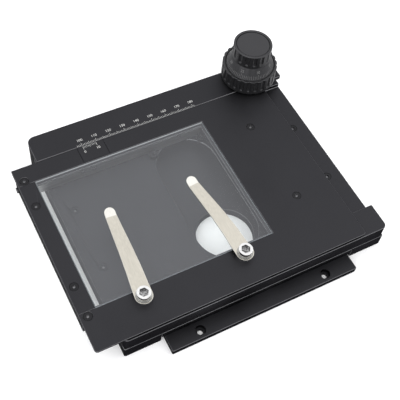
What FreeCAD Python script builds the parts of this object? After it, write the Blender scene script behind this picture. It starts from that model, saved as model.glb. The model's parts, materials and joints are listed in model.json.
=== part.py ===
import FreeCAD, Part
import math
import os
import re

# Mechanical XY stage of a microscope.  Millimetres, +X along the scale, +Y to the back, +Z up.
# The origin is where the optical axis leaves the underside of the base plate.
# Rest pose: cross slide hard left (scale reads 100), lengthways slide hard back.

doc = FreeCAD.newDocument("microscope_stage")
Vector = FreeCAD.Vector
Rotation = FreeCAD.Rotation

DRIVING = [
    # base plate
    ("base_half", 64.3), ("base_front", -56), ("base_rear", 104), ("base_top", 6),
    ("flange_top", 4.6), ("flange_back", -43.5), ("core_half", 58), ("ledge_top", 1.4),
    ("light_radius", 18.5),
    ("mount_half", 43.75), ("mount_line", -51), ("mount_radius", 1.7),
    ("mount_head_radius", 3.3), ("mount_head_floor", 1.8), ("flange_corner", 0.8),
    # lengthways (Y) slide
    ("carriage_half", 90), ("carriage_front", -45.4), ("carriage_rear", 107.8),
    ("carriage_floor", 10.3), ("floor_top", 13.3), ("bar_top", 21), ("deck", 21.3),
    ("bar_bottom", 0.5), ("bar_inner", 66.4), ("bar_rear", 104), ("bar_corner", 1),
    ("channel_front", -27.4), ("channel_rear", 88), ("slot_radius", 20.5), ("y_travel", 54),
    ("corner_radius", 5), ("front_corner", 3.5), ("lip_back", -43.9), ("lip_bottom", 4.9),
    ("rack_slot_floor", 18.3), ("rack_slot_back", 93.2),
    # cross (X) slide
    ("plate_left", -107), ("plate_right", 73), ("plate_front", -45.2), ("plate_back", 87.7),
    ("plate_top", 24.3), ("plate_edge", 22.9), ("rail_inner_face", 72.2),
    ("window_left", -96.5), ("window_right", 20.5), ("window_front", -20.5), ("window_back", 74.5),
    ("ledge", 2), ("glass_seat", 22.3), ("x_travel", 76), ("frame_bottom", 13.6),
    ("plate_corner", 2),
    ("vernier_left", -63.3), ("vernier_right", -45.2), ("vernier_front", 75.4),
    ("vernier_floor", 23.3),
    # ball guides
    ("ball_radius", 1.45), ("groove_size", 1.5), ("x_gap", 1.2), ("y_gap", 2.1),
    ("x_groove_height", 15.75), ("y_groove_height", 3.7), ("cage_thick", 0.6),
    # coaxial drive
    ("knob_x", 68.8), ("knob_y", 98), ("tube_radius", 4.5), ("shaft_radius", 2.5),
    ("running", 0.05), ("gear_module", 0.8), ("gear_teeth", 16), ("backlash", 0.12),
    ("large_radius", 18.8), ("small_radius", 13), ("skirt_bottom", 25.8), ("skirt_top", 37.3),
    ("dial_radius", 16.5), ("dial_top", 44.2), ("flute_radius", 1.7), ("flute_depth", 0.65),
    ("dial_groove", 17), ("small_bottom", 44.6), ("small_top", 55),
    # stage clips
    ("clip_left_x", -69.3), ("clip_right_x", -3.2), ("clip_line", -26.5),
    ("clip_seat", 27.1), ("clip_thick", 0.8), ("clip_length", 63.6), ("clip_tip_line", 57.6),
    ("clip_root_width", 10.8), ("clip_tip_width", 6.8), ("clip_touch", 24.4),
    # fasteners
    ("fit", 0.05), ("stop_x", 17.5), ("stop_y", 69), ("stop_radius", 2.9),
    ("floor_screw_x", 80), ("floor_screw_back", 51), ("floor_screw_front", 7),
    ("plate_screw_left", -102.3), ("plate_screw_right", 48),
]

sheet = doc.addObject("Spreadsheet::Sheet", "dims")
for row, (alias, value) in enumerate(DRIVING, start=1):
    sheet.set("A%d" % row, alias)
    sheet.set("B%d" % row, str(value))
    sheet.setAlias("B%d" % row, alias)
doc.recompute()

NODES = {}
COUNT = {"n": 0}


# ---------------------------------------------------------------- helpers
def size(alias):
    """The number that a cell of the sheet holds."""
    return float(sheet.get(alias))


def cells(text):
    """Turn 'plate_top - ledge' into 'dims.plate_top - dims.ledge'."""
    return re.sub(r"[a-z][a-z_]*", r"dims.\g<0>", str(text))


def fresh(kind, hint):
    """Add an object with a name of its own."""
    COUNT["n"] += 1
    return doc.addObject(kind, "%s_%d" % (hint, COUNT["n"]))


def place(obj, x, y, z, rotation=None):
    """Bind an object's position to cells, after its rotation is set."""
    if rotation is not None:
        obj.Placement = FreeCAD.Placement(Vector(0, 0, 0), rotation)
    for axis, text in zip("xyz", (x, y, z)):
        obj.setExpression("Placement.Base." + axis, cells(text))
    return obj


def box(x, y, z):
    """A block between a low and a high expression on each axis."""
    obj = fresh("Part::Box", "block")
    for side, (low, high) in zip(("Length", "Width", "Height"), (x, y, z)):
        obj.setExpression(side, cells("(%s) - (%s)" % (high, low)))
    return place(obj, x[0], y[0], z[0])


def cylinder(radius, x, y, z):
    """An upright cylinder between two heights."""
    obj = fresh("Part::Cylinder", "round")
    obj.setExpression("Radius", cells(radius))
    obj.setExpression("Height", cells("(%s) - (%s)" % (z[1], z[0])))
    return place(obj, x, y, z[0])


def cylinder_x(radius, x, y, z):
    """A cylinder that lies along X."""
    obj = fresh("Part::Cylinder", "round")
    obj.setExpression("Radius", cells(radius))
    obj.setExpression("Height", cells("(%s) - (%s)" % (x[1], x[0])))
    return place(obj, x[0], y, z, Rotation(Vector(0, 1, 0), 90))


def cylinder_y(radius, x, y, z):
    """A cylinder that lies along Y."""
    obj = fresh("Part::Cylinder", "round")
    obj.setExpression("Radius", cells(radius))
    obj.setExpression("Height", cells("(%s) - (%s)" % (y[1], y[0])))
    return place(obj, x, y[0], z, Rotation(Vector(1, 0, 0), -90))


def cone(low_radius, high_radius, x, y, z):
    """An upright cone between two heights."""
    obj = fresh("Part::Cone", "cone")
    obj.setExpression("Radius1", cells(low_radius))
    obj.setExpression("Radius2", cells(high_radius))
    obj.setExpression("Height", cells("(%s) - (%s)" % (z[1], z[0])))
    return place(obj, x, y, z[0])


def fuse(*parts):
    """Join shapes into one solid."""
    if len(parts) == 1:
        return parts[0]
    obj = fresh("Part::MultiFuse", "union")
    obj.Shapes = list(parts)
    obj.Refine = True
    return obj


def cut(base, *tools):
    """Take tools away from a shape."""
    obj = fresh("Part::Cut", "cut")
    obj.Base = base
    obj.Tool = fuse(*tools)
    obj.Refine = True
    return obj


def group(*parts):
    """Keep separate solids together in one sub-part."""
    obj = fresh("Part::Compound", "group")
    obj.Links = list(parts)
    return obj


def rounded(block, corners):
    """Round upright edges of a block: 1 left front, 3 left back, 5 right front, 7 right back."""
    obj = fresh("Part::Fillet", "rounded")
    obj.Base = block
    obj.Edges = [(edge, size(radius), size(radius)) for edge, radius in corners.items()]
    return obj


def node(name, obj):
    """Register a finished sub-part."""
    obj.Label = name
    NODES[name] = obj
    return obj


def feature(name, shape):
    """A sub-part whose outline is worked out in code."""
    obj = doc.addObject("Part::Feature", name)
    obj.Shape = shape
    return obj


def screw_down(x, y, seat, end, radius, head_radius, head, socket=0.9):
    """Cap screw with its head above seat and its shank down to end."""
    shank = cylinder(radius, x, y, (end, seat))
    cap = cylinder(head_radius, x, y, (seat, "(%s) + %s" % (seat, head)))
    key = fresh("Part::Prism", "socket")
    key.Polygon = 6
    key.setExpression("Circumradius", cells(socket))
    key.setExpression("Height", cells("(%s) * 0.6" % head))
    place(key, x, y, "(%s) + (%s) * 0.45" % (seat, head))
    return cut(fuse(shank, cap), key)


def screw_up(x, y, seat, end, radius, head_radius, head):
    """Plain cap screw that hangs head down: its shank rises from seat to end."""
    shank = cylinder(radius, x, y, (seat, end))
    cap = cylinder(head_radius, x, y, ("(%s) - %s" % (seat, head), seat))
    return fuse(shank, cap)


def screw_hole(x, y, z, radius, head_radius, head_z):
    """Clearance for a screw: shank over z and head over head_z."""
    return [cylinder("%s + fit" % radius, x, y, z), cylinder("%s + fit" % head_radius, x, y, head_z)]


def groove(axis, start, length, across, height, facing):
    """Square bar on its corner, which cuts a V groove whose bottom is at 'across'.

    facing is +1 or -1: the side that the groove opens to."""
    obj = fresh("Part::Box", "groove")
    reach = "4"
    if axis == "x":
        obj.setExpression("Length", cells(length))
        obj.setExpression("Width", reach)
        obj.setExpression("Height", reach)
        turn = Rotation(Vector(1, 0, 0), -45 if facing > 0 else 135)
        return place(obj, start, across, height, turn)
    obj.setExpression("Length", reach)
    obj.setExpression("Width", cells(length))
    obj.setExpression("Height", reach)
    turn = Rotation(Vector(0, 1, 0), 45 if facing > 0 else -135)
    return place(obj, across, start, height, turn)


def groove_depth(gap):
    """Depth of a right-angled groove that a ball of groove_size fills, for a gap between rails."""
    return "(groove_size * 1.41421 - %s / 2)" % gap


SIDES = (("left", -1), ("right", 1))


# ---------------------------------------------------------------- fixed base
def base_plate():
    flange = rounded(box(("-base_half", "base_half"), ("base_front", "flange_back"),
                         ("0", "flange_top")), {1: "flange_corner", 5: "flange_corner"})
    core = box(("-core_half", "core_half"), ("flange_back", "base_rear"), ("0", "base_top"))
    ledge = box(("-base_half", "base_half"), ("flange_back", "base_rear"), ("0", "ledge_top"))
    holes = [cylinder("light_radius", "0", "0", ("-1", "base_top + 1"))]
    for side in (-1, 1):
        x = "%d * mount_half" % side
        holes.append(cylinder("mount_radius", x, "mount_line", ("-1", "flange_top")))
        holes.append(cylinder("mount_head_radius", x, "mount_line",
                              ("mount_head_floor", "flange_top + 1")))
        for y in Y_FIXED_SCREWS:
            low, high = sorted((side * (size("core_half") - 8), side * (size("core_half") + 1)))
            holes.append(cylinder_x("1 + fit", (low, high), y, "y_groove_height"))
    for y in Y_RACK_SCREWS:
        holes.append(cylinder("1 + fit", RACK_SCREW_X, y, ("2", "base_top + 1")))
    for y in Y_STOP_SCREWS:
        holes.append(cylinder("1.25 + fit", Y_STOP_X, y, ("1", "base_top + 1")))
    return node("base_plate", cut(fuse(flange, core, ledge), *holes))


Y_FIXED_SCREWS = ("-30", "30", "90")
Y_RACK_SCREWS = ("42", "70", "100")
RACK_SCREW_X = "54.5"
Y_STOP_X = "-45"
Y_STOP_SCREWS = ("85.1", "20.9")


def y_fixed_rails():
    """Two grooved rails on the edges of the base, and the screws that hold them."""
    screws = []
    face = size("base_half")
    for name, side in SIDES:
        low, high = sorted((side * (size("core_half") + size("fit")), side * face))
        rail = box((low, high), ("flange_back + 0.5", "base_rear - 1"), ("ledge_top", "base_top"))
        bottom = "%d * (base_half - %s)" % (side, groove_depth("y_gap"))
        tools = [groove("y", "flange_back", "base_rear - flange_back + 1", bottom,
                        "y_groove_height", side)]
        for y in Y_FIXED_SCREWS:
            inner, outer = side * (size("core_half") - 6), side * (face - 3)
            head = side * (face - 1.2)
            tools.append(cylinder_x("1 + fit", sorted((inner, outer)), y, "y_groove_height"))
            tools.append(cylinder_x("1.9 + fit", sorted((outer, side * (face + 1))), y,
                                    "y_groove_height"))
            shank = cylinder_x("1", sorted((inner, outer)), y, "y_groove_height")
            cap = cylinder_x("1.9", sorted((outer, head)), y, "y_groove_height")
            screws.append(fuse(shank, cap))
        node("y_fixed_rail_" + name, cut(rail, *tools))
    node("y_fixed_rail_screws", group(*screws))


def y_stops():
    """Two screws in the base and a pin in the carriage, which end the lengthways travel."""
    heads = [screw_down(Y_STOP_X, y, "base_top", "1.2", "1.25", "2.75", "3") for y in Y_STOP_SCREWS]
    node("y_stop_screws", group(*heads))
    node("y_stop_pin", cylinder("2", Y_STOP_X, "80", ("base_top + 0.3", "floor_top - 0.1")))


# ---------------------------------------------------------------- gears and racks
def pitch_radius():
    return size("gear_module") * size("gear_teeth") / 2


def involute(base_radius, radius):
    """Polar angle of an involute at a radius."""
    tangent = math.sqrt((radius / base_radius) ** 2 - 1)
    return tangent - math.atan(tangent)


def pinion_face():
    """Face of the pinion: a gap faces -X and another faces -Y, where the racks are."""
    pitch = pitch_radius()
    base = pitch * math.cos(math.radians(20))
    tip = pitch + size("gear_module")
    root = pitch - 1.25 * size("gear_module")
    half = math.pi / (2 * size("gear_teeth")) - size("backlash") / (4 * pitch)
    half_base = half + involute(base, pitch)
    radii = [base + (tip - base) * k / 4 for k in range(5)]
    points = []
    for tooth in range(int(size("gear_teeth"))):
        middle = 2 * math.pi * (tooth + 0.5) / size("gear_teeth")
        flank = [(root, half_base)] + [(r, half_base - involute(base, r)) for r in radii]
        points += [(r, middle - a) for r, a in flank]
        points += [(r, middle + a) for r, a in reversed(flank)]
    loop = [Vector(r * math.cos(a), r * math.sin(a), 0) for r, a in points]
    return Part.Face(Part.makePolygon(loop + [loop[0]]))


def pinion(name, low, high, bore):
    shape = pinion_face().extrude(Vector(0, 0, high - low))
    hole = Part.makeCylinder(bore, high - low + 2, Vector(0, 0, -1))
    obj = feature(name, shape.cut(hole))
    obj.Placement.Base = Vector(size("knob_x"), size("knob_y"), low)
    return node(name, obj)


def rack_outline(start, end, centre):
    """Teeth along X, pointing to +Y, pitch line on Y = 0, one tooth's middle at centre."""
    step = math.pi * size("gear_module")
    slope = math.tan(math.radians(20))
    add = size("gear_module")
    ded = 1.25 * add
    half = step / 4 - size("backlash") / 4
    first = math.ceil((start + 1.6 - centre) / step)
    last = math.floor((end - 1.6 - centre) / step)
    loop = [Vector(start, -ded - 0.01, 0), Vector(start, -ded, 0)]
    for tooth in range(first, last + 1):
        middle = centre + tooth * step
        loop += [Vector(middle - half - ded * slope, -ded, 0), Vector(middle - half + add * slope, add, 0),
                 Vector(middle + half - add * slope, add, 0), Vector(middle + half + ded * slope, -ded, 0)]
    loop += [Vector(end, -ded, 0), Vector(end, -ded - 0.01, 0)]
    return loop


def y_rack():
    """Rack on the base, which the lower pinion walks along.  Its teeth point to +X."""
    start, end, low, high = 36.0, 104.0, size("base_top"), 9.2
    line = size("knob_x") - pitch_radius()
    loop = rack_outline(-end, -start, -size("knob_y"))
    outline = [Vector(line + p.y, -p.x, low) for p in loop]
    back = [Vector(52, start, low), Vector(52, end, low)]
    body = Part.Face(Part.makePolygon(outline + back + [outline[0]])).extrude(Vector(0, 0, high - low))
    for y in Y_RACK_SCREWS:
        x = float(RACK_SCREW_X)
        body = body.cut(Part.makeCylinder(1 + size("fit"), 9, Vector(x, float(y), 3)))
        body = body.cut(Part.makeCylinder(1.9 + size("fit"), 5, Vector(x, float(y), high - 1.2)))
    node("y_rack", feature("y_rack", body))
    screws = [screw_down(RACK_SCREW_X, y, high - 1.2, "2.2", "1", "1.9", "1.1", "0.6")
              for y in Y_RACK_SCREWS]
    node("y_rack_screws", group(*screws))


X_RACK_SCREWS = (-8, 30, 64)
X_RACK_SCREW_Y = 84.3


def x_rack():
    """Rack under the back edge of the stage plate, which the upper pinion drives."""
    start, end, low = -14.0, size("plate_right"), size("rack_slot_floor") + 0.3
    line = size("knob_y") - pitch_radius()
    loop = rack_outline(start, end, size("knob_x"))
    outline = [Vector(p.x, line + p.y, low) for p in loop]
    back = [Vector(end, 81, low), Vector(start, 81, low)]
    teeth = Part.Face(Part.makePolygon(outline + back + [outline[0]]))
    body = teeth.extrude(Vector(0, 0, size("deck") - 0.3 - low))
    land = Part.makeBox(end - start, 87.6 - 81, size("deck") - low, Vector(start, 81, low))
    body = body.fuse(land).removeSplitter()
    for x in X_RACK_SCREWS:
        body = body.cut(Part.makeCylinder(1 + size("fit"), 9, Vector(x, X_RACK_SCREW_Y, low - 1)))
        body = body.cut(Part.makeCylinder(1.9 + size("fit"), 2.1, Vector(x, X_RACK_SCREW_Y, low - 1)))
    node("x_rack", feature("x_rack", body))
    screws = [screw_up(x, X_RACK_SCREW_Y, low + 1.1, 23.2, "1", "1.9", "1") for x in X_RACK_SCREWS]
    node("x_rack_screws", group(*screws))


# ---------------------------------------------------------------- lengthways carriage
X_OUTER_FRONT = ("-84", "69")
X_OUTER_REAR = ("-84", "76")
X_OUTER_SCREWS = ("-70", "-10", "50")
SCALE_SCREWS = ("-55", "-18", "18", "50")
SCALE_SCREW_Y = "102"


def y_carriage_plate():
    slab = rounded(box(("-carriage_half", "carriage_half"), ("carriage_front", "carriage_rear"),
                       ("carriage_floor", "deck")),
                   {1: "front_corner", 3: "corner_radius", 5: "front_corner", 7: "corner_radius"})
    lip = box(("0.1 - bar_inner", "bar_inner - 0.1"), ("carriage_front", "lip_back"),
              ("lip_bottom", "carriage_floor + 1"))
    block = fuse(slab, lip)
    wide = ("-carriage_half - 1", "carriage_half + 1")
    over = "deck + 1"
    tools = [
        box(wide, ("channel_front", "channel_rear"), ("floor_top", over)),
        box(wide, ("carriage_front - 1", "channel_front + 1"), ("bar_top", over)),
        box(("-86", "70"), ("channel_front - 6", "channel_front + 1"), ("floor_top", over)),
        box(wide, ("channel_rear - 1", "rack_slot_back"), ("rack_slot_floor", over)),
        box(("82", "carriage_half + 1"), ("channel_rear - 1", "rack_slot_back"), ("16.3", over)),
        box(("-bar_inner", "bar_inner"), ("carriage_front - 1", "carriage_front + 0.4"),
            ("carriage_floor - 0.3", "carriage_floor")),
        cylinder("8", "knob_x", "knob_y", ("rack_slot_floor", over)),
        cylinder("5 + fit", "knob_x", "knob_y", ("carriage_floor - 1", over)),
        cylinder("slot_radius", "0", "0", ("carriage_floor - 1", over)),
        cylinder("slot_radius", "0", "y_travel", ("carriage_floor - 1", over)),
        box(("-slot_radius", "slot_radius"), ("0", "y_travel"), ("carriage_floor - 1", over)),
        cylinder("2 + fit", Y_STOP_X, "80", ("carriage_floor - 1", "floor_top")),
    ]
    through = ("carriage_floor - 1", "floor_top + 1")
    for side in (-1, 1):
        for y in ("floor_screw_back", "floor_screw_front"):
            tools += screw_hole("%d * floor_screw_x" % side, y, through, "1.5", "2.75",
                                ("floor_top - 1.6", "floor_top + 1"))
        tools.append(cylinder("1.25 + fit", "%d * stop_x" % side, "stop_y", through))
    for x in X_OUTER_SCREWS:
        tools.append(cylinder("1.25 + fit", x, "channel_front - 3", ("11", "floor_top + 1")))
        tools.append(cylinder("1.25 + fit", x, "channel_rear - 3", ("11", "floor_top + 1")))
    for x in SCALE_SCREWS:
        tools += screw_hole(x, SCALE_SCREW_Y, ("carriage_floor - 1", over), "1.25", "2.4",
                            ("carriage_floor - 1", "carriage_floor + 3"))
    return node("y_carriage_plate", cut(block, *tools))


def side_bars():
    """Bars under the carriage that straddle the base, with the grooved rails let into them."""
    fasteners = []
    rail_screws = []
    for name, side in SIDES:
        def span(low, high):
            ends = sorted((side * low, side * high))
            return (str(ends[0]), str(ends[1]))
        inner, outer = size("bar_inner"), size("carriage_half")
        bar = rounded(box(span(inner, outer), ("carriage_front", "bar_rear"),
                          ("bar_bottom", "carriage_floor")), {1 if side < 0 else 5: "bar_corner"})
        tools = [box(span(inner - 1, 72.45), ("flange_back", "bar_rear + 1"), ("0", "6.25"))]
        if side > 0:
            tools.append(cylinder("8", "knob_x", "knob_y", ("6.25", "carriage_floor + 1")))
            tools.append(box(("bar_inner - 1", "knob_x"), ("knob_y - 8", "bar_rear + 1"),
                             ("6.25", "carriage_floor + 1")))
        x = "%d * floor_screw_x" % side
        for y in ("floor_screw_back", "floor_screw_front"):
            tools.append(cylinder("1.5 + fit", x, y, ("4", "carriage_floor + 1")))
            fasteners.append(screw_down(x, y, "floor_top - 1.5", "4.2", "1.5", "2.75", "1.4", "1"))
        rail = box(span(inner, 72.4), ("flange_back + 0.5", "bar_rear - 1"), ("1.2", "6.2"))
        apex = "%d * (bar_inner + %s)" % (side, groove_depth("y_gap"))
        cuts = [groove("y", "flange_back", "bar_rear - flange_back + 1", apex,
                       "y_groove_height", -side)]
        rail_x = side * 70.0
        for y in Y_MOVING_SCREWS:
            tools.append(cylinder("1 + fit", rail_x, y, ("5", "9")))
            cuts += screw_hole(rail_x, y, ("0", "7"), "1", "1.9", ("0", "2.7"))
            rail_screws.append(screw_up(rail_x, y, "2.6", "8.8", "1", "1.9", "1.2"))
        node("side_bar_" + name, cut(bar, *tools))
        node("y_moving_rail_" + name, cut(rail, *cuts))
    node("side_bar_screws", group(*fasteners))
    node("y_moving_rail_screws", group(*rail_screws))


Y_MOVING_SCREWS = ("-36", "20", "80")


def rear_scale_plate():
    plate = rounded(box(("-carriage_half", "carriage_half"), ("channel_rear", "carriage_rear"),
                        ("deck", "plate_top")),
                    {3: "corner_radius", 5: "bar_corner", 7: "corner_radius"})
    tools = [cylinder("7 + fit", "knob_x", "knob_y", ("deck - 1", "plate_top + 1"))]
    screws = []
    for x in SCALE_SCREWS:
        tools.append(cylinder("1.25 + fit", x, SCALE_SCREW_Y, ("deck - 1", "23.2")))
        screws.append(screw_up(x, SCALE_SCREW_Y, "carriage_floor + 2.9", "23", "1.25", "2.4", "2.5"))
    node("rear_scale_plate", cut(plate, *tools))
    node("scale_plate_screws", group(*screws))


def x_outer_rails():
    """Grooved rails in the carriage's channel, and their screws."""
    screws = []
    depth = groove_depth("x_gap")
    front_top, rear_top = "bar_top - 0.1", "rack_slot_floor - 0.1"
    front = box(X_OUTER_FRONT, ("channel_front - 5.95", "channel_front"), ("floor_top", front_top))
    rear = box(X_OUTER_REAR, ("channel_rear - 6", "channel_rear - fit"), ("floor_top", rear_top))
    front_cuts = [groove("x", "-90", "170", "channel_front - " + depth, "x_groove_height", 1)]
    rear_cuts = [groove("x", "-90", "180", "channel_rear - 6 + " + depth, "x_groove_height", -1)]
    for x in X_OUTER_SCREWS:
        for line, top, cuts in (("channel_front - 3", front_top, front_cuts),
                                ("channel_rear - 3", rear_top, rear_cuts)):
            seat = "%s - 1.5" % top
            cuts += screw_hole(x, line, ("floor_top - 1", "deck"), "1.25", "2.1", (seat, "deck"))
            screws.append(screw_down(x, line, seat, "11.2", "1.25", "2.1", "1.4", "0.8"))
    node("x_outer_rail_front", cut(front, *front_cuts))
    node("x_outer_rail_rear", cut(rear, *rear_cuts))
    node("x_outer_rail_screws", group(*screws))


def x_stops():
    """Two cap screws in the carriage floor, which the cross slide's frame meets at each end."""
    heads = [screw_down("%d * stop_x" % side, "stop_y", "floor_top", "carriage_floor", "1.25",
                        "stop_radius", "3", "1.3") for side in (-1, 1)]
    node("x_stop_screws", group(*heads))


def bushes():
    bush = fuse(cylinder("7", "knob_x", "knob_y", ("deck", "plate_top")),
                cylinder("10", "knob_x", "knob_y", ("plate_top", "plate_top + 1")))
    bore = cylinder("tube_radius + running", "knob_x", "knob_y", ("deck - 1", "plate_top + 2"))
    node("knob_bush", cut(bush, bore))
    low = cylinder("5", "knob_x", "knob_y", ("carriage_floor", "rack_slot_floor - 0.1"))
    hole = cylinder("shaft_radius + running", "knob_x", "knob_y", ("carriage_floor - 1", "deck"))
    node("shaft_bush", cut(low, hole))


# ---------------------------------------------------------------- cross slide
PLATE_SCREWS = (("plate_screw_left", "77.3"), ("plate_screw_left", "57"), ("plate_screw_left", "-3"),
                ("plate_screw_left", "-23.3"), ("plate_screw_right", "57"), ("plate_screw_right", "-3"))
STRIP_SCREWS = PLATE_SCREWS[1:3]
END_SCREWS = (("78.2", "-107.9"), ("-23.4", "-106"))
X_INNER_SCREWS = ("-84", "-40", "10", "60")


def plate_screw_holes(spots, low):
    tools = []
    for x, y in spots:
        tools += screw_hole(x, y, (low, "plate_top + 1"), "1.5", "2.75",
                            ("plate_top - 1.6", "plate_top + 1"))
    return tools


def stage_plate():
    """Top plate with the glass window, open to the left where the strip closes it."""
    plate = rounded(box(("plate_left", "plate_right"), ("plate_front", "plate_back"),
                        ("deck", "plate_top")), {1: "plate_corner", 5: "plate_corner"})
    out = "plate_left - 1"
    over = ("deck - 1", "plate_top + 1")
    tools = [
        box((out, "plate_right + 1"), ("plate_front - 1", "plate_front + 4"), ("deck - 1", "plate_edge")),
        box((out, "-carriage_half - 0.3"), ("plate_front - 1", "channel_front + 1.1"),
            ("deck - 1", "plate_edge")),
        box((out, "window_right - ledge"), ("window_front + ledge", "window_back - ledge"), over),
        box((out, "window_right"), ("window_front", "window_back"), ("glass_seat", "plate_top + 1")),
        box((out, "window_left"), ("window_front", "window_back"), over),
        box(("vernier_left", "vernier_right"), ("vernier_front", "plate_back + 1"),
            ("vernier_floor", "plate_top + 1")),
    ]
    spots = [spot for spot in PLATE_SCREWS if spot not in STRIP_SCREWS]
    tools += plate_screw_holes(spots, "deck - 1")
    for x in ("clip_left_x", "clip_right_x"):
        tools.append(cylinder("2 + fit", x, "clip_line", over))
    for x in X_INNER_SCREWS:
        for y in (RAIL_FRONT_Y, RAIL_REAR_Y):
            tools.append(cylinder("1 + fit", x, y, ("deck - 1", "23.2")))
    for x in X_RACK_SCREWS:
        tools.append(cylinder("1 + fit", x, X_RACK_SCREW_Y, ("deck - 1", "23.2 + fit")))
    return node("stage_plate", cut(plate, *tools))


RAIL_FRONT_Y = "-22.6"
RAIL_REAR_Y = "77.1"


def left_strip():
    strip = box(("plate_left", "window_left - fit"), ("window_front + 0.1", "window_back - 0.1"),
                ("deck", "plate_top"))
    node("left_strip", cut(strip, *plate_screw_holes(STRIP_SCREWS, "deck - 1")))


def glass_and_vernier():
    node("glass_plate", box(("window_left + 0.1", "window_right - 0.1"),
                            ("window_front + 0.1", "window_back - 0.1"),
                            ("glass_seat", "plate_top - 0.1")))
    node("vernier_plate", box(("vernier_left + 0.25", "vernier_right - 0.25"),
                              ("vernier_front + 0.1", "plate_back"), ("vernier_floor", "plate_top")))


def cross_frame():
    """End bar, cross bar and the two grooved rails under the stage plate, with their screws."""
    under = ("frame_bottom", "deck")
    front, rear = "channel_front + x_gap", "channel_rear - 6 - x_gap"
    end_bar = box(("plate_left", "window_left - 0.1"), (front, rear), under)
    cross = box(("window_right + 0.1", "plate_screw_right + 5.4"),
                ("window_front + 0.1", "rail_inner_face - 0.1"), under)
    holes = {"end": [], "cross": []}
    for x, y in PLATE_SCREWS:
        which = "end" if x == "plate_screw_left" else "cross"
        holes[which].append(cylinder("1.5 + fit", x, y, ("frame_bottom + 4.6", "deck + 1")))
    end_screws = []
    end_height = "frame_bottom + 2.4"
    rails = {"front": [], "rear": []}
    for (y, tip), rail in zip(END_SCREWS, ("rear", "front")):
        neck = "%s + 1.1" % tip
        holes["end"].append(cylinder_x("1 + fit", ("plate_left - 1", "-96"), y, end_height))
        holes["end"].append(cylinder_x("1.8 + fit", ("plate_left - 1", neck), y, end_height))
        rails[rail].append(cylinder_x("1 + fit", ("-97", "-88"), y, end_height))
        end_screws.append(fuse(cylinder_x("1", (neck, "-88.4"), y, end_height),
                               cylinder_x("1.8", (tip, neck), y, end_height)))
    node("left_end_bar", cut(end_bar, *holes["end"]))
    node("right_cross_bar", cut(cross, *holes["cross"]))
    node("end_bar_screws", group(*end_screws))
    depth = groove_depth("x_gap")
    rails["front"].append(groove("x", "-100", "180", "%s + %s" % (front, depth),
                                 "x_groove_height", -1))
    rails["rear"].append(groove("x", "-100", "180", "%s - %s" % (rear, depth), "x_groove_height", 1))
    screws = []
    for x in X_INNER_SCREWS:
        for rail, y in (("front", RAIL_FRONT_Y), ("rear", RAIL_REAR_Y)):
            rails[rail] += screw_hole(x, y, ("13", "deck + 1"), "1", "1.9", ("13", "15.1"))
            screws.append(screw_up(x, y, "15", "23", "1", "1.9", "1.2"))
    run = ("-96", "71")
    node("x_inner_rail_front", cut(box(run, (front, "window_front - 0.1"), under), *rails["front"]))
    node("x_inner_rail_rear", cut(box(run, ("rail_inner_face", rear), under), *rails["rear"]))
    node("x_inner_rail_screws", group(*screws))
    heads = [screw_down(x, y, "plate_top - 1.5", "frame_bottom + 4.8", "1.5", "2.75", "1.45", "1")
             for x, y in PLATE_SCREWS]
    node("stage_plate_screws", group(*heads))


# ---------------------------------------------------------------- stage clips
def clip_shape():
    """Tapered spring clip: plan outline and side view, each extruded, and what they share.

    Pivot at the origin, length along +Y, underside of the root at Z = 0."""
    length, tip_line = size("clip_length"), size("clip_tip_line")
    root, tip = size("clip_root_width") / 2, size("clip_tip_width") / 2
    thick = size("clip_thick")
    drop = size("clip_seat") - size("clip_touch")
    arc = Part.Arc(Vector(-root, 0, -9), Vector(0, -root, -9), Vector(root, 0, -9)).toShape()
    shoulder = length - tip
    end = Part.Arc(Vector(tip, shoulder, -9), Vector(0, length, -9),
                   Vector(-tip, shoulder, -9)).toShape()
    right = Part.LineSegment(Vector(root, 0, -9), Vector(tip, shoulder, -9)).toShape()
    left = Part.LineSegment(Vector(-tip, shoulder, -9), Vector(-root, 0, -9)).toShape()
    plan = Part.Face(Part.Wire([arc, right, end, left])).extrude(Vector(0, 0, 18))
    # side view in YZ: flat root, a rise, a long fall to the glass, an upturned lip
    spine = [(-12, 0), (7, 0), (16, 1.1), (30, 0.7), (tip_line, -drop), (length + 2, -drop + 1.6)]
    lower = [Vector(-9, y, z) for y, z in spine]
    upper = [Vector(-9, y, z + thick) for y, z in reversed(spine)]
    side = Part.Face(Part.makePolygon(lower + upper + [lower[0]])).extrude(Vector(18, 0, 0))
    hole = Part.makeCylinder(2.06, 20, Vector(0, 0, -10))
    return plan.common(side).cut(hole)


def clips():
    spacers, washers, screws = [], [], []
    turns = {"left": -5.1, "right": 4.6}
    for name, turn in turns.items():
        x = "clip_%s_x" % name
        obj = feature("clip_" + name, clip_shape())
        obj.Placement = FreeCAD.Placement(Vector(0, 0, 0), Rotation(Vector(0, 0, 1), turn))
        obj.setExpression("Placement.Base.x", cells(x))
        obj.setExpression("Placement.Base.y", cells("clip_line"))
        obj.setExpression("Placement.Base.z", cells("clip_seat + fit"))
        node("clip_" + name, obj)
        top = "clip_seat + clip_thick + 2 * fit"
        spacers.append(cut(cylinder("5.3", x, "clip_line", ("plate_top", "clip_seat")),
                           cylinder("2 + fit", x, "clip_line", ("plate_top - 1", "clip_seat + 1"))))
        washers.append(cut(cylinder("4.9", x, "clip_line", (top, top + " + 0.5")),
                           cylinder("2 + fit", x, "clip_line", (top + " - 1", top + " + 2"))))
        screws.append(screw_down(x, "clip_line", top + " + 0.5", "deck + 0.2", "2", "4.3", "3.6", "2.9"))
    node("clip_spacers", group(*spacers))
    node("clip_washers", group(*washers))
    node("clip_screws", group(*screws))


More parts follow.
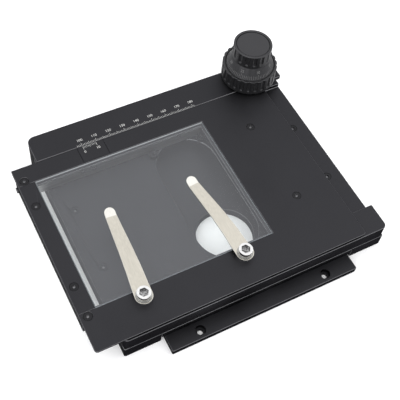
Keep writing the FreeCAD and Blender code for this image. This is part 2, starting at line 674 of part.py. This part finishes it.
# ---------------------------------------------------------------- coaxial drive
def fluted(body, radius, flutes, low, high):
    """Cut upright flutes round a knob; each runs out in a ball end at its bottom."""
    tools = []
    for k in range(flutes):
        angle = 2 * math.pi * k / flutes
        reach = size(radius) + size("flute_radius") - size("flute_depth")
        x = size("knob_x") + reach * math.cos(angle)
        y = size("knob_y") + reach * math.sin(angle)
        tools.append(cylinder("flute_radius", x, y, (low, high)))
        end = fresh("Part::Sphere", "flute_end")
        end.setExpression("Radius", cells("flute_radius"))
        tools.append(place(end, x, y, low))
    return cut(body, *tools)


def knobs():
    at = ("knob_x", "knob_y")
    node("knob_shaft", cylinder("shaft_radius", *at, ("6.5", "52")))
    tube = cylinder("tube_radius", *at, ("rack_slot_floor + 0.2", "dial_top - 0.2"))
    node("knob_tube", cut(tube, cylinder("shaft_radius + running", *at, ("10", "60"))))
    screw_x = ("knob_x + shaft_radius + 0.3", "knob_x + small_radius - 2")
    skirt = cylinder("large_radius", *at, ("skirt_bottom", "skirt_top"))
    bore = cylinder("tube_radius + 0.02", *at, ("20", "60"))
    large_screw = ("knob_x + tube_radius + 0.3", "knob_x + large_radius - 3")
    large_z, small_z = "skirt_bottom + 5", "small_bottom + 3"
    access = cylinder_x("1.5 + fit", ("knob_x", "knob_x + large_radius + 2"), "knob_y", large_z)
    ring = cut(cylinder("dial_groove", *at, ("skirt_top - 0.8", "skirt_top + 1")),
               cylinder("dial_radius", *at, ("skirt_top - 2", "skirt_top + 2")))
    node("large_knob", fluted(cut(skirt, bore, access, ring), "large_radius", 24,
                              "skirt_bottom + 3.6", "skirt_top + 1"))
    node("large_knob_set_screw", cylinder_x("1.5", large_screw, "knob_y", large_z))
    dial = cone("dial_radius", "small_radius - 0.4", *at, ("skirt_top", "dial_top"))
    node("dial_ring", cut(dial, cylinder("tube_radius + 0.02", *at, ("30", "60"))))
    barrel = cylinder("small_radius", *at, ("small_bottom", "small_top"))
    tools = [cylinder("shaft_radius + 0.02", *at, ("30", "52.1")),
             cylinder("11.4", *at, ("small_top - 1.2", "small_top + 1")),
             cylinder_x("1.5 + fit", ("knob_x", "knob_x + small_radius + 2"), "knob_y", small_z)]
    node("small_knob", fluted(cut(barrel, *tools), "small_radius", 16, "small_bottom + 3.4",
                              "small_top - 0.7"))
    node("small_knob_set_screw", cylinder_x("1.5", screw_x, "knob_y", small_z))
    node("knob_cap", cylinder("11", *at, ("small_top - 1.2", "small_top - 0.35")))
    pinion("x_pinion", 18.6, 20.9, size("tube_radius") + 0.02)
    pinion("y_pinion", 6.7, 9.1, size("shaft_radius") + 0.02)


# ---------------------------------------------------------------- ball cages
def cages():
    """Each cage is a thin strip with a row of holes, and a ball in each hole."""
    half = "cage_thick / 2"
    lines = {"front": "channel_front + x_gap / 2", "rear": "channel_rear - 6 - x_gap / 2"}
    for name, line in lines.items():
        strip = box(("-62", "28"), ("%s - %s" % (line, half), "%s + %s" % (line, half)),
                    ("x_groove_height - 1.8", "x_groove_height + 1.8"))
        spots = [-57 + 10 * k for k in range(9)]
        holes = [cylinder_y("ball_radius + fit", x, (line + " - 2", line + " + 2"),
                            "x_groove_height") for x in spots]
        node("x_cage_" + name, cut(strip, *holes))
        node("x_balls_" + name, group(*[ball(x, line, "x_groove_height") for x in spots]))
    for name, side in SIDES:
        line = "%d * (base_half + y_gap / 2)" % side
        strip = box(("%s - %s" % (line, half), "%s + %s" % (line, half)), ("-5", "65"),
                    ("y_groove_height - 1.8", "y_groove_height + 1.8"))
        spots = [0 + 10 * k for k in range(7)]
        holes = [cylinder_x("ball_radius + fit", (line + " - 2", line + " + 2"), y,
                            "y_groove_height") for y in spots]
        node("y_cage_" + name, cut(strip, *holes))
        node("y_balls_" + name, group(*[ball(line, y, "y_groove_height") for y in spots]))


def ball(x, y, z):
    obj = fresh("Part::Sphere", "ball")
    obj.setExpression("Radius", cells("ball_radius"))
    return place(obj, x, y, z)


# ---------------------------------------------------------------- build, check and write
def main():
    base_plate()
    y_fixed_rails()
    y_stops()
    y_rack()
    y_carriage_plate()
    side_bars()
    rear_scale_plate()
    x_outer_rails()
    x_stops()
    bushes()
    stage_plate()
    left_strip()
    glass_and_vernier()
    cross_frame()
    x_rack()
    clips()
    knobs()
    cages()
    doc.recompute()
    bad = [o.Label for o in doc.Objects if "Invalid" in o.State or "Error" in o.State]
    if bad:
        raise SystemExit("objects that failed: " + ", ".join(bad))
    for name, obj in NODES.items():
        if obj.Shape.isNull() or not obj.Shape.isValid() or not obj.Shape.Solids:
            raise SystemExit("bad shape: " + name)
    os.makedirs("parts", exist_ok=True)
    for name, obj in NODES.items():
        obj.Shape.exportStep("parts/%s.step" % name)
        bounds = obj.Shape.BoundBox
        print("%-24s %2d solids %9.1f mm3  X %.1f..%.1f  Y %.1f..%.1f  Z %.1f..%.1f" % (
            name, len(obj.Shape.Solids), obj.Shape.Volume, bounds.XMin, bounds.XMax,
            bounds.YMin, bounds.YMax, bounds.ZMin, bounds.ZMax))
    print(len(NODES), "nodes")


main()
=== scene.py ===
import json
import math

import bmesh
import bpy
from mathutils import Matrix, Vector


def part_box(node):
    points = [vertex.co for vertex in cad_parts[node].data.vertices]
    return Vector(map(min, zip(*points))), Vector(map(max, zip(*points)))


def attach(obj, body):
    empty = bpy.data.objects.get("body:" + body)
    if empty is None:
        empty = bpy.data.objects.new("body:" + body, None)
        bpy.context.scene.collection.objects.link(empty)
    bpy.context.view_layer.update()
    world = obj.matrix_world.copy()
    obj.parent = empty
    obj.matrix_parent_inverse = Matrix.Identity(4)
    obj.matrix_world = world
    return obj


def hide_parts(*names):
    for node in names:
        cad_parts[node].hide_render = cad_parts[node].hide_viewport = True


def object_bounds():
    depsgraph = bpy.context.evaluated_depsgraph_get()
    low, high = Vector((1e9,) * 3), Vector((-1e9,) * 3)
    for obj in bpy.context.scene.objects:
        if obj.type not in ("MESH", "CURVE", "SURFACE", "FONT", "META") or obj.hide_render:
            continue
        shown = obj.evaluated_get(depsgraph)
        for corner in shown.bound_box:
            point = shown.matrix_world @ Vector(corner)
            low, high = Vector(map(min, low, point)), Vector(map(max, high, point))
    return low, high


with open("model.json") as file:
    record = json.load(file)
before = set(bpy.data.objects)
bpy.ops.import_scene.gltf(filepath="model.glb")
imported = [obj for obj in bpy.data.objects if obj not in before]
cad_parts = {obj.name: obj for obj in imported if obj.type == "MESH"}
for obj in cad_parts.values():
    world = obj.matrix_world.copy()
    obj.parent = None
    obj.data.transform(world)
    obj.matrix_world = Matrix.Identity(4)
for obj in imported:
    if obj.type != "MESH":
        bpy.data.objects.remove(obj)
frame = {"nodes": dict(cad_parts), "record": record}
cad_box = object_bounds()

NODES = frame["nodes"]
RECORD = frame["record"]
MM = 0.001
HAIR = 0.02 * MM  # paint stands this far off the metal


# ---------------------------------------------------------------- materials
EVEN = (1, 1, 1)  # no stretch
NOISE_LOW, NOISE_HIGH = 0.3, 0.7  # the range that most of a noise lies in
GRAIN_SHARE, CLOUD_SHARE = 0.55, 0.45  # what fine grain and clouds add to an anodised colour


class Look:
    """A node material under construction."""

    def __init__(self, name):
        self.material = bpy.data.materials.new(name)
        self.material.use_nodes = True
        self.tree = self.material.node_tree
        self.shader = self.tree.nodes["Principled BSDF"]

    def set(self, **values):
        for socket, value in values.items():
            self.shader.inputs[socket.replace("_", " ")].default_value = value
        return self

    def add(self, kind):
        return self.tree.nodes.new(kind)

    def link(self, source, target):
        self.tree.links.new(source, target)

    def feed(self, source, socket):
        """Link a source to an input of the shader."""
        self.link(source, self.shader.inputs[socket])

    def noise(self, scale, detail, stretch=EVEN):
        """Noise in the object's own metres, stretched along an axis if asked."""
        place = self.add("ShaderNodeTexCoord")
        warp = self.add("ShaderNodeMapping")
        warp.inputs["Scale"].default_value = stretch
        noise = self.add("ShaderNodeTexNoise")
        noise.inputs["Scale"].default_value = scale
        noise.inputs["Detail"].default_value = detail
        self.link(place.outputs["Object"], warp.inputs["Vector"])
        self.link(warp.outputs["Vector"], noise.inputs["Vector"])
        return noise.outputs["Fac"]

    def scaled(self, source, share, plus=None):
        """A source times a number, plus another source if one is given."""
        product = self.add("ShaderNodeMath")
        product.operation = "MULTIPLY_ADD" if plus else "MULTIPLY"
        product.inputs[1].default_value = share
        self.link(source, product.inputs[0])
        if plus:
            self.link(plus, product.inputs[2])
        return product.outputs[0]

    def span(self, source, low, high):
        """Map a noise to a range of numbers."""
        ranged = self.add("ShaderNodeMapRange")
        ranged.inputs["From Min"].default_value = NOISE_LOW
        ranged.inputs["From Max"].default_value = NOISE_HIGH
        ranged.inputs["To Min"].default_value = low
        ranged.inputs["To Max"].default_value = high
        self.link(source, ranged.inputs["Value"])
        return ranged.outputs["Result"]

    def colours(self, source, low, high):
        """Blend two colours by a noise."""
        ramp = self.add("ShaderNodeValToRGB")
        ramp.color_ramp.elements[0].position = NOISE_LOW
        ramp.color_ramp.elements[1].position = NOISE_HIGH
        ramp.color_ramp.elements[0].color = (*low, 1)
        ramp.color_ramp.elements[1].color = (*high, 1)
        self.link(source, ramp.inputs["Fac"])
        return ramp.outputs["Color"]

    def bump(self, source, height, strength):
        """Raise the surface by a noise."""
        bump = self.add("ShaderNodeBump")
        bump.inputs["Distance"].default_value = height
        bump.inputs["Strength"].default_value = strength
        self.link(source, bump.inputs["Height"])
        self.feed(bump.outputs["Normal"], "Normal")


def anodised(name, low, high, rough_low, rough_high, rim=0.25, metal=1.0):
    """Bead-blasted and anodised aluminium: fine grain, faint cloudiness, little rim sheen."""
    look = Look(name).set(Metallic=metal, Specular_Tint=(rim, rim, rim, 1))
    fine = look.noise(2600, 3)
    cloud = look.noise(38, 3)
    mixed = look.scaled(fine, GRAIN_SHARE, look.scaled(cloud, CLOUD_SHARE))
    look.feed(look.colours(mixed, low, high), "Base Color")
    look.feed(look.span(cloud, rough_low, rough_high), "Roughness")
    look.bump(fine, 0.02 * MM, 0.35)
    return look.material


def brushed(name, low, high, rough_low, rough_high, stretch, scale=900):
    """Metal with a lay of fine scratches along one axis."""
    look = Look(name).set(Metallic=1.0)
    lay = look.noise(scale, 5, stretch)
    cloud = look.noise(90, 3)
    look.feed(look.colours(lay, low, high), "Base Color")
    look.feed(look.span(cloud, rough_low, rough_high), "Roughness")
    look.bump(lay, 0.01 * MM, 0.5)
    return look.material


def specked(name, low, high, scale, detail, **values):
    """A plain material whose colour varies a little: glass or paint."""
    look = Look(name).set(**values)
    look.feed(look.colours(look.noise(scale, detail), low, high), "Base Color")
    return look.material


def paint(name, grey):
    """Filled engraving."""
    return specked(name, tuple(0.8 * c for c in grey), grey, 2400, 2, Roughness=0.6)


BLACK = anodised("black_anodised", (0.027, 0.027, 0.0295), (0.038, 0.038, 0.0415), 0.42, 0.54)
# A lighter tone for chamfers and screw sockets: a painted highlight where edges catch the light.
EDGE_HIGHLIGHT = anodised("painted_edge_highlight", (0.12, 0.12, 0.125), (0.20, 0.20, 0.21), 0.34, 0.46)
KNOB = anodised("knob_anodised", (0.033, 0.033, 0.035), (0.045, 0.045, 0.048), 0.34, 0.42, 0.5, 0.6)
# A lighter tone for the knobs' chamfers: a painted highlight where their edges catch the light.
KNOB_EDGE_HIGHLIGHT = anodised("knob_painted_edge_highlight", (0.06, 0.06, 0.062), (0.09, 0.09, 0.093), 0.24, 0.34, 0.5)
SCREW = anodised("black_steel", (0.018, 0.018, 0.019), (0.028, 0.028, 0.030), 0.24, 0.32)
ALONG = (1, 0.04, 1)  # scratches run along the blade
CLIP = brushed("clip_steel", (0.41, 0.39, 0.34), (0.51, 0.485, 0.425), 0.30, 0.38, ALONG, 3200)
POLISHED = brushed("polished_steel", (0.60, 0.59, 0.55), (0.67, 0.66, 0.62), 0.30, 0.38, ALONG, 3200)
CHROME = brushed("chrome", (0.56, 0.56, 0.56), (0.66, 0.66, 0.65), 0.06, 0.12, EVEN)
# Painted shade for the dark screw sockets, with painted glints from its high-contrast noise.
SOCKET_SHADE_AND_GLINTS = brushed("socket_painted_shade_and_glints", (0.008, 0.008, 0.008), (0.40, 0.40, 0.40), 0.12, 0.30, EVEN)
WASHER = brushed("washer_steel", (0.18, 0.18, 0.17), (0.36, 0.36, 0.35), 0.16, 0.26, EVEN)
STEEL = brushed("bright_steel", (0.58, 0.58, 0.58), (0.74, 0.74, 0.73), 0.16, 0.26, (1, 1, 0.2), 500)
RAIL = brushed("ground_steel", (0.36, 0.36, 0.36), (0.50, 0.50, 0.49), 0.26, 0.36, (0.05, 0.05, 1))
BALL = brushed("ball_steel", (0.62, 0.62, 0.63), (0.70, 0.70, 0.71), 0.06, 0.12, EVEN)
BRONZE = brushed("bronze", (0.42, 0.27, 0.11), (0.55, 0.37, 0.17), 0.28, 0.40, (0.1, 0.1, 1))
# The pane's faint emission is the grey veil that a pale studio leaves on it, and its low index of
# refraction keeps that veil free of noise.
GLASS = specked("window_glass", (0.745, 0.765, 0.76), (0.775, 0.795, 0.79), 60, 3, Roughness=0.0, IOR=1.04,
                Transmission_Weight=1.0, Emission_Strength=0.065, Emission_Color=(0.93, 0.94, 1.0, 1))
GLASS_EDGE = specked("ground_glass_edge", (0.20, 0.22, 0.24), (0.27, 0.29, 0.31), 1500, 3, Roughness=0.5,
                     IOR=1.5, Transmission_Weight=0.25)
GLOW = specked("lit_glass_edge", (0.16, 0.17, 0.18), (0.22, 0.23, 0.24), 1500, 3, Roughness=0.5, IOR=1.5,
               Emission_Strength=0.17, Emission_Color=(0.92, 0.97, 1.0, 1))
WHITE = paint("white_fill", (0.58, 0.58, 0.56))
GREY = paint("grey_fill", (0.17, 0.17, 0.17))

SLOT_LOOKS = {
    "black_anodised": BLACK, "black_satin": KNOB, "bare_steel": STEEL, "rail_steel": RAIL,
    "bearing_balls": BALL, "black_screws": SCREW, "bronze": BRONZE, "clear_glass": GLASS,
}
SLOTS = {entry["node"]: entry["material_slot"] for entry in RECORD["subparts"]}
BODY_OF = {node: body for body, nodes in RECORD["behaviour"]["bodies"].items() for node in nodes}


def dress(obj, look):
    obj.data.materials.clear()
    obj.data.materials.append(look)


for name, obj in NODES.items():
    dress(obj, SLOT_LOOKS[SLOTS[name]])


# ---------------------------------------------------------------- geometry helpers
WELD = 0.002 * MM
FLAT = math.radians(1)  # faces that turn by less are one face
CRISP = math.radians(16)  # edges that turn by more are shaded as edges
CORNER = math.radians(32)  # edges that turn by more are broken


def in_scene(obj):
    bpy.context.scene.collection.objects.link(obj)
    return obj


def add_piece(name, mesh, body):
    """Link a mesh as a new piece that rides on a body."""
    obj = in_scene(bpy.data.objects.new(name, mesh))
    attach(obj, body)
    return obj


def outlines(edges, reach):
    """Edges that belong to connected runs wider than reach, so small holes are left out."""
    waiting = set(edges)
    kept = []
    while waiting:
        run, front = set(), [waiting.pop()]
        while front:
            edge = front.pop()
            run.add(edge)
            near = {e for v in edge.verts for e in v.link_edges if e in waiting}
            waiting -= near
            front.extend(near)
        spots = [v.co for e in run for v in e.verts]
        if max(max(p[k] for p in spots) - min(p[k] for p in spots) for k in range(3)) > reach:
            kept.extend(run)
    return kept


def softened(node, width, segments=1, look=None, edge_look=None, where=None, reach=0.0):
    """A copy of a CAD node with its sharp edges broken, which stands for it.

    Only edges whose middle passes a test, and only runs of edges wider than reach, are broken."""
    look = look or SLOT_LOOKS[SLOTS[node]]
    mesh = NODES[node].data.copy()
    mesh.materials.clear()
    mesh.materials.append(look)
    mesh.materials.append(edge_look or look)
    work = bmesh.new()
    work.from_mesh(mesh)
    bmesh.ops.remove_doubles(work, verts=work.verts, dist=WELD)
    bmesh.ops.dissolve_limit(work, angle_limit=FLAT, verts=work.verts, edges=work.edges)
    sharp = [e for e in work.edges if len(e.link_faces) == 2 and e.calc_face_angle(0) > CORNER
             and (where is None or where((e.verts[0].co + e.verts[1].co) / 2))]
    bmesh.ops.bevel(work, geom=outlines(sharp, reach), offset=width, offset_type="OFFSET",
                    segments=segments, profile=0.5, affect="EDGES", clamp_overlap=False, material=1)
    work.to_mesh(mesh)
    work.free()
    mesh.shade_smooth()
    mesh.set_sharp_from_angle(angle=CRISP)
    obj = add_piece(node + "_shape", mesh, BODY_OF[node])
    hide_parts(node)
    return obj


def paint_faces(obj, look, test):
    """Give the faces that pass a test a look of their own."""
    obj.data.materials.append(look)
    for face in obj.data.polygons:
        if test(face):
            face.material_index = len(obj.data.materials) - 1


def slab(work, low, high):
    """A box between two corners."""
    size = Vector(high) - Vector(low)
    middle = (Vector(high) + Vector(low)) / 2
    matrix = Matrix.Translation(middle) @ Matrix.Diagonal((*size, 1))
    bmesh.ops.create_cube(work, size=1.0, matrix=matrix)


DIGIT_SHARE = 0.72  # a digit's height over the size of its font


def figure(work, number, height, matrix):
    """Add a number to a bmesh, centred on a matrix's origin and flat on its XY plane."""
    curve = bpy.data.curves.new("figure", "FONT")
    curve.body = str(number)
    curve.size = height / DIGIT_SHARE
    curve.align_x = "CENTER"
    curve.align_y = "CENTER"
    curve.resolution_u = 3
    holder = in_scene(bpy.data.objects.new("figure", curve))
    depsgraph = bpy.context.evaluated_depsgraph_get()
    mesh = bpy.data.meshes.new_from_object(holder.evaluated_get(depsgraph))
    bpy.data.objects.remove(holder)
    bpy.data.curves.remove(curve)
    mesh.transform(matrix)
    work.from_mesh(mesh)
    bpy.data.meshes.remove(mesh)


def engrave(name, work, look, body):
    """One piece from a bmesh of marks and figures."""
    mesh = bpy.data.meshes.new(name)
    work.to_mesh(mesh)
    work.free()
    dress(add_piece(name, mesh, body), look)


# ---------------------------------------------------------------- machined plates
PLATES = {  # bevel of each in mm
    "stage_plate": 0.20, "left_strip": 0.20, "rear_scale_plate": 0.25, "y_carriage_plate": 0.30,
    "side_bar_left": 0.35, "side_bar_right": 0.35, "base_plate": 0.25, "left_end_bar": 0.25,
    "right_cross_bar": 0.25,
}
SCREW_HOLE = 9 * MM  # runs of edges no wider than this stay sharp on the plates
pocket_low, pocket_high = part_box("vernier_plate")


def off_vernier(spot):
    """True away from the pocket that the vernier plate lies in."""
    near = 0.5 * MM  # a margin for the pocket's own walls
    return (not pocket_low[0] - near < spot.x < pocket_high[0] + near
            or not pocket_low[1] - near < spot.y < pocket_high[1] + near)


# The plates' chamfers get the painted edge highlight. The vernier pocket is left unbevelled, so it has
# none.
for name, width in PLATES.items():
    softened(name, width * MM, edge_look=EDGE_HIGHLIGHT, where=off_vernier if name == "stage_plate" else None,
             reach=SCREW_HOLE)
RIM = 0.1 * MM  # sockets start this far below the top of a screw's head
SUNK_SOCKET = 1.3 * MM  # depth of the hexagon sockets, whose faces get the painted edge highlight
for name in ("stage_plate_screws", "side_bar_screws", "x_stop_screws", "end_bar_screws"):
    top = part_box(name)[1][2]
    # The socket faces get the lighter edge tone as a painted highlight.
    paint_faces(softened(name, 0.15 * MM), EDGE_HIGHLIGHT,
                lambda face: top - SUNK_SOCKET < face.center.z < top - RIM)

# ---------------------------------------------------------------- clips and their screws
TIP = 6 * MM  # length of the polished toe
CLIP_SCREWS = (Vector((-69.3, -26.5)) * MM, Vector((-3.2, -26.5)) * MM)
SOCKET_REACH = 3 * MM  # more than the sockets' radius, and than their depth below the rim
for name in ("clip_left", "clip_right"):
    blade = softened(name, 0.15 * MM, 2, CLIP, POLISHED)
    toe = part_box(name)[1][1] - TIP
    for face in blade.data.polygons:
        if face.center.y > toe:
            face.material_index = 1
# The clip screws' sockets get painted shade and painted glints.
socket_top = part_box("clip_screws")[1][2] - RIM
paint_faces(softened("clip_screws", 0.20 * MM, 2, CHROME), SOCKET_SHADE_AND_GLINTS,
            lambda face: min((spot - face.center.xy).length for spot in CLIP_SCREWS) < SOCKET_REACH
            and socket_top - SOCKET_REACH < face.center.z < socket_top)
softened("clip_washers", 0.15 * MM, 2, WASHER)
softened("clip_spacers", 0.20 * MM, 2, STEEL)

# ---------------------------------------------------------------- window glass with ground edges
CHAMFER = 0.45 * MM
CEMENT = 0.05 * MM  # the film that the glass rests on
pane_low, pane_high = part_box("glass_plate")
rear = pane_high[1] - 1 * MM  # behind this is the pane's rear edge
pane = softened("glass_plate", CHAMFER, 1, GLASS, GLASS_EDGE,
                where=lambda spot: spot.z > pane_high[2] - HAIR)
pane.visible_shadow = False  # light reaches the floor under the glass without caustic noise
pane.data.materials.append(GLOW)
for vertex in pane.data.vertices:
    if vertex.co.z < pane_low[2] + HAIR:
        vertex.co.z += CEMENT
    if vertex.co.z > pane_high[2] - HAIR and vertex.co.y > rear:
        vertex.co.y -= CHAMFER  # the rear chamfer is twice as wide
for face in pane.data.polygons:
    if abs(face.normal.z) < 0.9:  # a side or a chamfer
        face.material_index = 2 if face.center.y > rear else 1

# ---------------------------------------------------------------- coaxial knobs
SET_SCREW_HOLE = 4 * MM  # runs of edges no wider than this stay sharp on the knobs
for name in ("large_knob", "small_knob"):
    # The knobs' chamfers get the painted edge highlight.
    softened(name, 0.15 * MM, edge_look=KNOB_EDGE_HIGHLIGHT, reach=SET_SCREW_HOLE)
for name in ("dial_ring", "knob_cap"):
    softened(name, 0.20 * MM, 2)
softened("knob_bush", 0.30 * MM, 2)

# ---------------------------------------------------------------- engraved scale and vernier
TICK = 0.18 * MM  # width of a mark
FIGURE = 1.9 * MM  # height of a number
SCALE_ZERO, VERNIER_ZERO = -159.2 * MM, -59.2 * MM  # X of reading 0 on each
VERNIER_STEP = 0.9 * MM


def tick(work, x, y_from, y_to, top):
    """A mark along Y that stands a hair above a surface."""
    slab(work, (x - TICK / 2, y_from, top - HAIR), (x + TICK / 2, y_to, top))


rear_low, rear_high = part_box("rear_scale_plate")
seam, deck = rear_low[1], rear_high[2] + HAIR
work = bmesh.new()
for reading in range(97, 182):
    x = SCALE_ZERO + reading * MM
    length = 2.4 if reading % 10 == 0 else 1.9 if reading % 5 == 0 else 1.4
    tick(work, x, seam + 0.1 * MM, seam + length * MM, deck)
    if reading % 10 == 0:
        figure(work, reading, FIGURE, Matrix.Translation((x, seam + 4.7 * MM, deck)))
engrave("scale_marks", work, WHITE, "y_carriage")

vernier_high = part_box("vernier_plate")[1]
edge, deck = vernier_high[1], vernier_high[2] + HAIR
work = bmesh.new()
for division in range(11):
    x = VERNIER_ZERO + division * VERNIER_STEP
    length = 3.0 if division in (0, 10) else 2.4 if division == 5 else 1.8
    tick(work, x, edge - length * MM, edge - 0.4 * MM, deck)
    if division in (0, 10):
        figure(work, division, FIGURE, Matrix.Translation((x, edge - 4.9 * MM, deck)))
engrave("vernier_marks", work, WHITE, "x_carriage")

# ---------------------------------------------------------------- dial: 0.5 mm per mark, 40 mm per turn
DIAL_MARKS, NUMBERED = 80, 10  # marks in a turn, and how often one is long and numbered
DIAL_START = math.radians(-8)
LIP = 0.4 * MM  # the cone ends this far inside the small knob, and its marks start this far up
dial_low, dial_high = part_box("dial_ring")
small_low, small_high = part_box("small_knob")
foot = (dial_high[0] - dial_low[0]) / 2
crown = (small_high[0] - small_low[0]) / 2 - LIP
lean = math.atan2(foot - crown, dial_high[2] - dial_low[2])
axis_x, axis_y = (dial_low[0] + dial_high[0]) / 2, (dial_low[1] + dial_high[1]) / 2
to_dial = Matrix.Translation((axis_x, axis_y, dial_low[2]))


def on_dial(angle, up):
    """Matrix of a spot on the cone: local X runs round it, Y up the slope, Z out of it."""
    spot = Matrix.Translation((foot - up * math.sin(lean) + HAIR, 0, up * math.cos(lean)))
    slope = Matrix(((0, -math.sin(lean), math.cos(lean), 0), (1, 0, 0, 0),
                    (0, math.cos(lean), math.sin(lean), 0), (0, 0, 0, 1)))
    return to_dial @ Matrix.Rotation(angle, 4, "Z") @ spot @ slope


work = bmesh.new()
for mark in range(DIAL_MARKS):
    angle = DIAL_START + 2 * math.pi * mark / DIAL_MARKS
    numbered = mark % NUMBERED == 0
    length = (3.0 if numbered else 2.2) * MM
    size = Matrix.Diagonal((TICK, length, HAIR, 1))
    bmesh.ops.create_cube(work, size=1.0, matrix=on_dial(angle, LIP + length / 2) @ size)
    if numbered:
        figure(work, mark // 2, 1.8 * MM, on_dial(angle, 5.0 * MM))
engrave("dial_marks", work, GREY, "x_drive")

# ---------------------------------------------------------------- stage, light, camera
bpy.ops.mesh.primitive_plane_add(size=8, location=(0, 0, cad_box[0][2] - 0.1 * MM))
floor = bpy.context.object
floor.name = "floor"
pale = Look("pale_floor").set(Roughness=0.9, Base_Color=(0.9, 0.9, 0.9, 1), Emission_Strength=0.15,
                              Emission_Color=(1, 1, 1, 1))
dress(floor, pale.material)

world = bpy.data.worlds.new("studio")
bpy.context.scene.world = world
world.use_nodes = True
sky = world.node_tree
SKY_LIGHT = ((0.40, 0.30), (0.55, 0.60), (0.80, 1.55))  # (height on the sky's sphere, brightness)
place = sky.nodes.new("ShaderNodeTexCoord")
split = sky.nodes.new("ShaderNodeSeparateXYZ")
height = sky.nodes.new("ShaderNodeMapRange")
height.inputs["From Min"].default_value = -1
ramp = sky.nodes.new("ShaderNodeValToRGB")
ramp.color_ramp.interpolation = "EASE"
while len(ramp.color_ramp.elements) < len(SKY_LIGHT):
    ramp.color_ramp.elements.new(0.5)
for element, (position, level) in zip(ramp.color_ramp.elements, SKY_LIGHT):
    element.position = position
    element.color = (level, level, level * 1.01, 1)
sky.links.new(place.outputs["Generated"], split.inputs["Vector"])
sky.links.new(split.outputs["Z"], height.inputs["Value"])
sky.links.new(height.outputs["Result"], ramp.inputs["Fac"])
sky.links.new(ramp.outputs["Color"], sky.nodes["Background"].inputs["Color"])
sky.nodes["Background"].inputs["Strength"].default_value = 1.0


def soft_box(name, place, side, power):
    """A square area light that points at the origin."""
    data = bpy.data.lights.new(name, "AREA")
    data.shape = "SQUARE"
    data.size = side
    data.energy = power
    lamp = in_scene(bpy.data.objects.new(name, data))
    lamp.location = place
    lamp.rotation_euler = (-Vector(place)).to_track_quat("-Z", "Y").to_euler()


soft_box("soft_box_left", (-1.1, -0.5, 0.9), 1.2, 4.5)
soft_box("soft_box_right", (1.2, 0.1, 1.0), 1.1, 3)

EYE = Vector((-156.6, -201.4, 428.2)) * MM
HEADING, DIP, ROLL = math.radians(33.7), math.radians(56.68), math.radians(7.61)
forward = Vector((math.sin(HEADING) * math.cos(DIP), math.cos(HEADING) * math.cos(DIP), -math.sin(DIP)))
lens = bpy.data.cameras.new("camera")
lens.lens = 70.0
lens.sensor_width = 36.0
lens.clip_start = 0.01
camera = in_scene(bpy.data.objects.new("camera", lens))
camera.matrix_world = (Matrix.Translation(EYE) @ forward.to_track_quat("-Z", "Y").to_matrix().to_4x4()
                       @ Matrix.Rotation(ROLL, 4, "Z"))
bpy.context.scene.camera = camera
bpy.context.scene.view_settings.view_transform = "Standard"
bpy.context.scene.view_settings.exposure = 0.0
